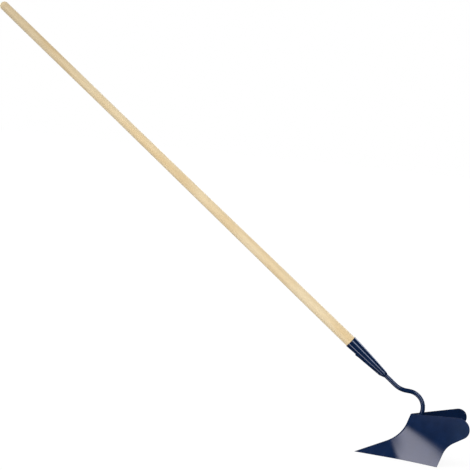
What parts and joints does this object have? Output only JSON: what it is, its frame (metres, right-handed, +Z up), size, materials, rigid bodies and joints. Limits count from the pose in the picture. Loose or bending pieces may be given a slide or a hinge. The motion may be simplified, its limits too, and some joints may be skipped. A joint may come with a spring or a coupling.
{
  "type": "hand ridging plough",
  "caption": "Long-handled hand ridger: a folded steel V blade with two rear lobes on a bent neck bar, in a rolled socket on a tapered ash pole.",
  "frame": {"origin": "the point of the blade, on the ground line and in the symmetry plane", "axes": "+X runs backwards along the furrow, away from the user; +Z is up; the tool is symmetric about Y = 0, and the handle rises towards -X"},
  "size_m": [1.4525, 0.2036, 1.173],
  "materials": {
    "blue_paint": "gloss",
    "ash_wood": "satin",
    "zinc_steel": "satin"
  },
  "bodies": {
    "root": {"blade": "blue_paint", "neck": "blue_paint", "foot_weld_near": "blue_paint", "foot_weld_far": "blue_paint", "socket": "blue_paint", "socket_weld": "blue_paint", "handle": "ash_wood", "handle_screw": "zinc_steel"}
  },
  "joints": []
}
